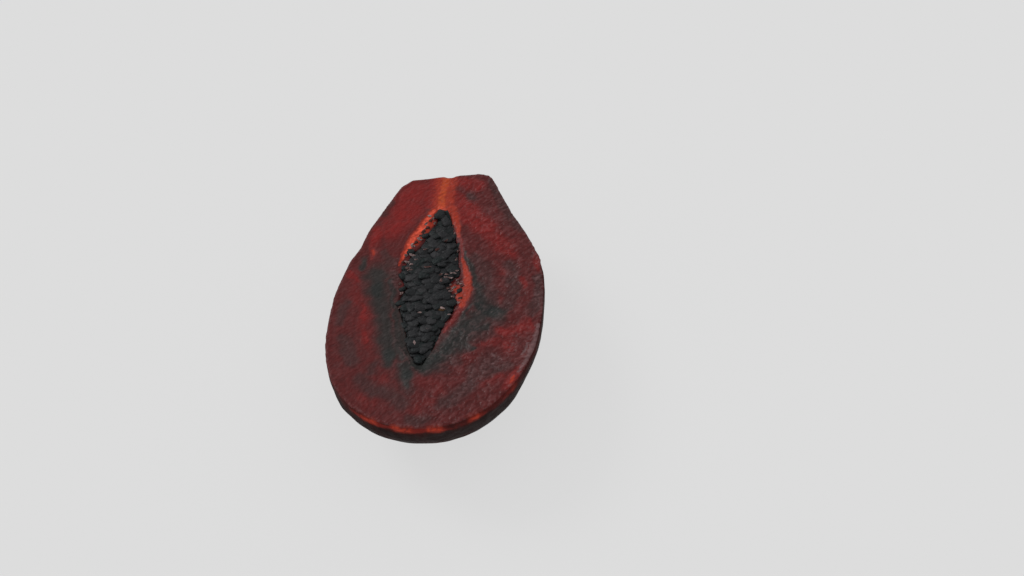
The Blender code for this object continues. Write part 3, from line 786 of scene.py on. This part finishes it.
def seeds():
    """All the dark seeds that show, and a layer under them."""
    draw = random.Random(RANDOM_SEED)
    listed = single_seeds(TIP_SEEDS + SMALL_SEEDS, SEED_LIFT)
    for depth, sink in enumerate(SEED_LAYERS):
        for middle, turn, size in seed_places(draw, 0.5 * depth, sink):
            scale = (SEED_LENGTH * size, SEED_WIDTH * size, SEED_THICKNESS * size)
            inner = float(smoothstep(0.0015, 0.0050, area_depth(middle.x, middle.y)))
            listed.append((middle, turn, scale, 0.25 * draw.random() + 0.75 * draw.random() * inner))
    coat = seed_coat("seed_coat", SEED_TEAL, SEED_DARK, SEED_LIGHT)
    return seed_piece("seeds", listed, coat, SEED_WRINKLES)


def tan_seeds():
    """The seed that has lost its dark coat."""
    coat = seed_coat("tan_coat", BROWN, BROWN, TAN)
    return seed_piece("tan_seeds", single_seeds(TAN_SEEDS, TAN_LIFT), coat, TAN_WRINKLES)


def pulp_bits_and_glints():
    """Pale bits and strings of pulp, between the seeds and beside them; the palest bits along the left ring
    and among the seeds are painted glints.
    """
    coat = seed_coat("pulp_and_glint_coat", PULP_DARK, PULP_DARK, PALE_PULP_AND_GLINT)
    return seed_piece("pulp_bits_and_glints", single_seeds(PULP_BITS_AND_GLINTS, BIT_LIFT), coat, BIT_WRINKLES)


def seed_bed():
    """The dark mass of packed seeds and pulp that closes the gaps under the loose ones."""
    bm = bmesh.new()
    bmesh.ops.create_uvsphere(bm, u_segments=96, v_segments=48, radius=1)
    low, high = SEED_AREA[0][0] * MM + BED_MARGIN, SEED_AREA[-1][0] * MM - BED_MARGIN
    for vert in bm.verts:
        p, q, up = vert.co
        y = low + (q + 1) / 2 * (high - low)
        left, right = seed_area(y)
        x = (left + right) / 2 + p / math.sqrt(max(1 - q * q, 1e-6)) * (right - left) / 2
        level = heap_height(x, y) - BED_DROP
        lump = BED_LUMPS * noise.noise(Vector((x, y, 0)) / BED_LUMP_SIZE)
        height = level + up * BED_THICKNESS + lump
        if up < 0:
            height = max(level + up * HOLLOW_DEPTH, hollow_floor(*hollow_disc(x, y)) + BED_CLEARANCE)
        vert.co = face_to_frame(Vector((x, y, height)))
    bmesh.ops.recalc_face_normals(bm, faces=bm.faces)
    mesh = bpy.data.meshes.new("seed_bed")
    bm.to_mesh(mesh)
    bm.free()
    mesh.shade_smooth()
    mesh.materials.append(seed_coat("seed_bed_coat", SEED_TEAL, SEED_DARK, SEED_DARK))
    return add_object("seed_bed", mesh)


# ---- materials -------------------------------------------------------------------------------


def add_node(tree, kind, inputs=(), **settings):
    """Adds a node; inputs pairs a socket's name or number with a value or another node's output."""
    made = tree.nodes.new(kind)
    for key, value in settings.items():
        setattr(made, key, value)
    for socket, value in dict(inputs).items():
        if isinstance(value, bpy.types.NodeSocket):
            tree.links.new(value, made.inputs[socket])
        else:
            made.inputs[socket].default_value = value
    return made


def maths(tree, operation, first, second):
    return add_node(tree, "ShaderNodeMath", {0: first, 1: second}, operation=operation).outputs[0]


def times(tree, first, second):
    return maths(tree, "MULTIPLY", first, second)


def spread(tree, value, low, high, to_low=0.0, to_high=1.0):
    """Maps low..high to to_low..to_high with soft ends."""
    made = add_node(
        tree,
        "ShaderNodeMapRange",
        {"Value": value, "From Min": low, "From Max": high, "To Min": to_low, "To Max": to_high},
        interpolation_type="SMOOTHSTEP",
    )
    return made.outputs["Result"]


def mask_of(tree, name):
    return add_node(tree, "ShaderNodeAttribute", attribute_name=name).outputs["Fac"]


def cover(tree, mask, below, above, strength=1.0):
    """Paints above over below where the mask is, at most with that strength."""
    made = add_node(tree, "ShaderNodeMix", data_type="RGBA", clamp_factor=True)
    factor = mask if strength == 1.0 else times(tree, mask, strength)
    for socket, value in ((0, factor), (6, below), (7, above)):
        if isinstance(value, bpy.types.NodeSocket):
            tree.links.new(value, made.inputs[socket])
        else:
            made.inputs[socket].default_value = value if socket == 0 else (*value, 1.0)
    return made.outputs[2]


def brighten(tree, color, amount):
    """The colour times an amount."""
    made = add_node(tree, "ShaderNodeVectorMath", {0: color, "Scale": amount}, operation="SCALE")
    return made.outputs["Vector"]


def speckle(tree, vector, size, detail, roughness=0.55, distortion=0.0):
    """Noise, 0 to 1, with spots of about that size in metres."""
    settings = {"Scale": 1 / size, "Detail": detail, "Roughness": roughness, "Distortion": distortion}
    return add_node(tree, "ShaderNodeTexNoise", {"Vector": vector, **settings}).outputs["Fac"]


def new_group(name, inputs, outputs):
    """An empty node group with named inputs (name, kind, default) and outputs (name, kind)."""
    group = bpy.data.node_groups.new(name, "ShaderNodeTree")
    for socket, kind, default in inputs:
        made = group.interface.new_socket(socket, in_out="INPUT", socket_type=kind)
        if default is not None:
            made.default_value = default
    for socket, kind in outputs:
        group.interface.new_socket(socket, in_out="OUTPUT", socket_type=kind)
    return group, group.nodes.new("NodeGroupInput"), group.nodes.new("NodeGroupOutput")


def ragged_edge_group():
    """Breaks up a soft mask's edge with noise, and leaves it alone where it is empty or full."""
    group, given, result = new_group(
        "ragged edge",
        [
            ("Mask", "NodeSocketFloat", 0.0),
            ("Vector", "NodeSocketVector", None),
            ("Scale", "NodeSocketFloat", 400.0),
            ("Amount", "NodeSocketFloat", 0.6),
            ("Softness", "NodeSocketFloat", 0.25),
        ],
        [("Mask", "NodeSocketFloat")],
    )
    spots = add_node(
        group,
        "ShaderNodeTexNoise",
        {"Vector": given.outputs["Vector"], "Scale": given.outputs["Scale"], "Detail": 3.0},
    )
    mask = given.outputs["Mask"]
    moved = times(group, maths(group, "SUBTRACT", spots.outputs["Fac"], 0.5), given.outputs["Amount"])
    part_way = times(group, mask, maths(group, "SUBTRACT", 1.0, mask))
    at_edge = maths(group, "MINIMUM", times(group, part_way, 8.0), 2.0)
    value = maths(group, "ADD", mask, times(group, moved, at_edge))
    low = maths(group, "SUBTRACT", 0.5, given.outputs["Softness"])
    high = maths(group, "ADD", 0.5, given.outputs["Softness"])
    group.links.new(spread(group, value, low, high), result.inputs["Mask"])
    return group


def fine_relief_group():
    """A small-scale height for the shader, 0 to 1: slanting ridges and soft pits too fine for the mesh."""
    group, given, result = new_group(
        "fine relief",
        [("Vector", "NodeSocketVector", None), ("Scale", "NodeSocketFloat", 900.0)],
        [("Height", "NodeSocketFloat")],
    )
    slanting = add_node(
        group,
        "ShaderNodeMapping",
        {"Vector": given.outputs["Vector"], "Rotation": (0.0, 0.0, RIDGE_SLANT), "Scale": (1.7, 1.0, 1.0)},
        vector_type="TEXTURE",
    )
    settings = {"Scale": given.outputs["Scale"], "Detail": 0.6, "Roughness": 0.5}
    ridges = add_node(group, "ShaderNodeTexNoise", {"Vector": slanting.outputs["Vector"], **settings})
    pits = add_node(group, "ShaderNodeTexNoise", {"Vector": given.outputs["Vector"], **settings})
    ridge = times(group, spread(group, ridges.outputs["Fac"], 0.32, 0.68), 0.7)
    pit = times(group, spread(group, pits.outputs["Fac"], 0.30, 0.70), 0.3)
    group.links.new(maths(group, "ADD", ridge, pit), result.inputs["Height"])
    return group


def use_group(tree, group, inputs):
    made = add_node(tree, "ShaderNodeGroup", node_tree=group)
    for socket, value in inputs.items():
        if isinstance(value, bpy.types.NodeSocket):
            tree.links.new(value, made.inputs[socket])
        else:
            made.inputs[socket].default_value = value
    return made.outputs[0]


def ragged(tree, mask, vector, scale, amount, softness):
    settings = {"Mask": mask, "Vector": vector, "Scale": scale, "Amount": amount, "Softness": softness}
    return use_group(tree, RAGGED, settings)


def new_material(name):
    made = bpy.data.materials.new(name)
    made.use_nodes = True
    tree = made.node_tree
    shader = tree.nodes["Principled BSDF"]
    place = tree.nodes.new("ShaderNodeTexCoord").outputs["Object"]
    return made, tree, shader, place


def bump(tree, height, strength, distance):
    made = add_node(tree, "ShaderNodeBump", {"Height": height, "Strength": strength, "Distance": distance})
    return made.outputs["Normal"]


def flesh_color(tree, place):
    """The cut face's own colours, brick red to dusky brown."""
    mottle = speckle(tree, place, 0.0060, 2.0, 0.5, 0.4)
    broad = speckle(tree, place, 0.016, 2.0, 0.5, 0.3)
    uneven = times(tree, maths(tree, "SUBTRACT", broad, 0.5), 0.6)
    dusk = spread(tree, maths(tree, "ADD", mask_of(tree, "dusk"), uneven), 0.0, 1.0)
    red = spread(tree, maths(tree, "SUBTRACT", mask_of(tree, "red"), uneven), 0.0, 1.0)
    color = cover(tree, red, BRICK, BRIGHT_RED, 0.9)
    color = cover(tree, dusk, color, DUSKY, 0.72)
    return cover(tree, spread(tree, mottle, 0.42, 0.72, 0.0, 0.14), color, DUSKY)


def patches_color(tree, place, color):
    """Charred patches with a painted shadow line along the right ring, the orange ring and streak with
    painted glints on the ring's bright line, and painted grey-pink sheen, over the flesh.
    """
    for name, scale, amount, softness, strength, paint in PATCHES:
        patch = ragged(tree, mask_of(tree, name), place, scale, amount, softness)
        color = cover(tree, patch, color, paint, strength)
    patchy = speckle(tree, place, 0.0022, 2.0)
    glow = ragged(tree, mask_of(tree, "glow"), place, 420.0, 0.5, 0.5)
    color = cover(tree, glow, color, ORANGE, spread(tree, patchy, 0.3, 0.7, 0.80, 0.98))
    # The ring's bright inner line: orange of its own with painted glints in blots
    gold = ragged(tree, mask_of(tree, "gold"), place, 700.0, 0.8, 0.5)
    ring_line_with_glints = cover(tree, mask_of(tree, "ring"), OCHRE, EMBER)
    return cover(tree, gold, color, ring_line_with_glints, spread(tree, patchy, 0.38, 0.62, 0.45, 1.0))


def skin_color(tree, place):
    """Nearly black skin with faint dull red patches, redder beside the cut."""
    patch = speckle(tree, place, 0.024, 3.0, 0.5, 0.6)
    red = maths(tree, "ADD", times(tree, mask_of(tree, "rim"), 0.32), patch)
    return cover(tree, spread(tree, red, 0.42, 0.85, 0.0, 0.8), SKIN_DARK, SKIN_RED)


def rim_color(tree, place, height, color):
    """The red band below the edge of the cut with painted orange highlights on its raised spots, and the
    painted grey-pink highlight along the lip of the cut.
    """
    band = ragged(tree, mask_of(tree, "rim_glow"), place, 300.0, 0.6, 0.5)
    color = cover(tree, band, color, RIM_RED, 0.85)
    # Painted orange highlights on the band's raised spots
    rim_highlight = times(tree, mask_of(tree, "rim_highlights"), spread(tree, height, 0.3, 0.7, 0.55, 1.0))
    color = cover(tree, rim_highlight, color, RIM_ORANGE)
    # Painted grey-pink highlight on the raised lip
    lip_highlight = times(tree, mask_of(tree, "lit_lip_of_cut"), spread(tree, height, 0.3, 0.9))
    return cover(tree, lip_highlight, color, GREY_PINK, 0.35)


def papaya_surface_group():
    """Colour, roughness and fine relief of the whole fruit: cut flesh with painted shade and highlights on
    its grain, lit rim and dark skin.
    """
    group, given, result = new_group(
        "papaya surface",
        [("Vector", "NodeSocketVector", None)],
        [("Color", "NodeSocketColor"), ("Roughness", "NodeSocketFloat"), ("Height", "NodeSocketFloat")],
    )
    place = given.outputs["Vector"]
    ridges, dull, rind = (mask_of(group, name) for name in ("grain", "dull", "rind"))
    height = use_group(group, FINE_RELIEF, {"Vector": place, "Scale": 640.0})
    color = patches_color(group, place, flesh_color(group, place))
    # Painted shade and light: the grain's valleys darker and its crests lighter, and likewise for the fine
    # relief
    color = brighten(group, color, spread(group, ridges, -0.9, 0.9, 0.82, 1.14))
    color = brighten(group, color, spread(group, height, 0.1, 0.9, 0.93, 1.05))
    # Painted grey-pink highlights on the grain's crests, left out where the flesh is dull and in the orange
    # ring
    plain = maths(group, "MAXIMUM", times(group, dull, 0.65), mask_of(group, "glow"))
    crest_highlight = times(group, spread(group, ridges, 0.05, 1.0, 0.0, 0.17), maths(group, "SUBTRACT", 1.0, plain))
    color = cover(group, crest_highlight, color, GREY_PINK)
    color = cover(group, ragged(group, rind, place, 600.0, 0.3, 0.25), color, skin_color(group, place))
    group.links.new(rim_color(group, place, height, color), result.inputs["Color"])
    flesh_shine = spread(group, speckle(group, place, 0.0042, 3.0), 0.35, 0.7, 0.32, 0.50)
    duller = maths(group, "MAXIMUM", times(group, dull, 0.22), times(group, rind, 0.15))
    group.links.new(maths(group, "ADD", flesh_shine, duller), result.inputs["Roughness"])
    on_flesh = maths(group, "SUBTRACT", 1.0, rind)
    group.links.new(times(group, height, on_flesh), result.inputs["Height"])
    return group


def papaya_finish(name, gloss):
    made, tree, shader, place = new_material(name)
    surface = add_node(tree, "ShaderNodeGroup", {"Vector": place}, node_tree=PAPAYA_SURFACE)
    tree.links.new(surface.outputs["Color"], shader.inputs["Base Color"])
    tree.links.new(surface.outputs["Roughness"], shader.inputs["Roughness"])
    tree.links.new(bump(tree, surface.outputs["Height"], 0.5, 0.0006), shader.inputs["Normal"])
    shader.inputs["Specular IOR Level"].default_value = gloss
    return made


def seed_coat(name, deep, dark, light):
    """Dull coat of a seed: deepest where its shade value is low, lighter along its edge and in blots."""
    made, tree, shader, place = new_material(name)
    cloud = speckle(tree, place, 0.0012, 3.0, 0.6)
    rim = spread(tree, mask_of(tree, "edge"), 0.45, 1.0, 0.0, 0.35)
    shade = maths(tree, "ADD", times(tree, mask_of(tree, "shade"), 0.7), rim)
    shade = maths(tree, "ADD", shade, times(tree, maths(tree, "SUBTRACT", cloud, 0.5), 1.2))
    color = cover(tree, spread(tree, shade, -0.1, 0.35), deep, dark)
    color = cover(tree, spread(tree, shade, 0.25, 1.05), color, light)
    tree.links.new(color, shader.inputs["Base Color"])
    tree.links.new(spread(tree, cloud, 0.3, 0.7, 0.42, 0.60), shader.inputs["Roughness"])
    height = use_group(tree, FINE_RELIEF, {"Vector": place, "Scale": 900.0})
    tree.links.new(bump(tree, height, 0.6, 0.0004), shader.inputs["Normal"])
    shader.inputs["Specular IOR Level"].default_value = SEED_GLOSS
    return made


def pale_floor():
    """A pale floor with some glow of its own, as on a light table, so that shadows stay faint."""
    made, tree, shader, place = new_material("pale_floor")
    grain = speckle(tree, place, 0.002, 2.0)
    pale = (1 - FLOOR_GLOW) * FLOOR_PALENESS
    color = cover(tree, grain, (pale * 0.995,) * 3, (pale * 1.005,) * 3)
    tree.links.new(color, shader.inputs["Base Color"])
    shader.inputs["Emission Color"].default_value = (1.0, 1.0, 1.0, 1.0)
    shader.inputs["Emission Strength"].default_value = FLOOR_GLOW * FLOOR_BRIGHTNESS
    shader.inputs["Roughness"].default_value = 0.9
    shader.inputs["Specular IOR Level"].default_value = 0.0
    return made


# The node groups, each built once
RAGGED = ragged_edge_group()
FINE_RELIEF = fine_relief_group()
PAPAYA_SURFACE = papaya_surface_group()


# ---- stage -----------------------------------------------------------------------------------


def floor():
    bm = bmesh.new()
    bmesh.ops.create_grid(bm, x_segments=1, y_segments=1, size=FLOOR_SIZE)
    mesh = bpy.data.meshes.new("floor")
    bm.to_mesh(mesh)
    bm.free()
    mesh.materials.append(pale_floor())
    piece = add_object("floor", mesh)


def soft_light():
    """A pale sky all round and a soft lamp from the back left."""
    world = bpy.data.worlds.new("studio")
    bpy.context.scene.world = world
    world.use_nodes = True
    world.node_tree.nodes["Background"].inputs["Color"].default_value = (1.0, 1.0, 1.0, 1.0)
    world.node_tree.nodes["Background"].inputs["Strength"].default_value = SKY
    for name, energy, width, travel in LIGHTS:
        light = bpy.data.lights.new(name, "SUN")
        light.energy = energy
        light.angle = math.radians(width)
        lamp = add_object(name, light)
        lamp.rotation_euler = Vector(travel).to_track_quat("-Z", "Y").to_euler()


def camera():
    lens = bpy.data.cameras.new("camera")
    lens.lens = CAMERA_LENS
    lens.sensor_width = CAMERA_SENSOR
    view = add_object("camera", lens)
    view.location = CAMERA_PLACE
    view.rotation_euler = Euler([math.radians(angle) for angle in CAMERA_TURN])
    bpy.context.scene.camera = view


def main():
    bpy.context.scene.view_settings.view_transform = "Standard"
    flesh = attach(cut_papaya(), "root")
    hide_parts("papaya_half")
    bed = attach(seed_bed(), "root")
    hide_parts("seed_mass")
    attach(seeds(), "root")
    tan = tan_seeds()
    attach(tan, "root")
    pulp = pulp_bits_and_glints()
    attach(pulp, "root")
    floor()
    soft_light()
    camera()


main()
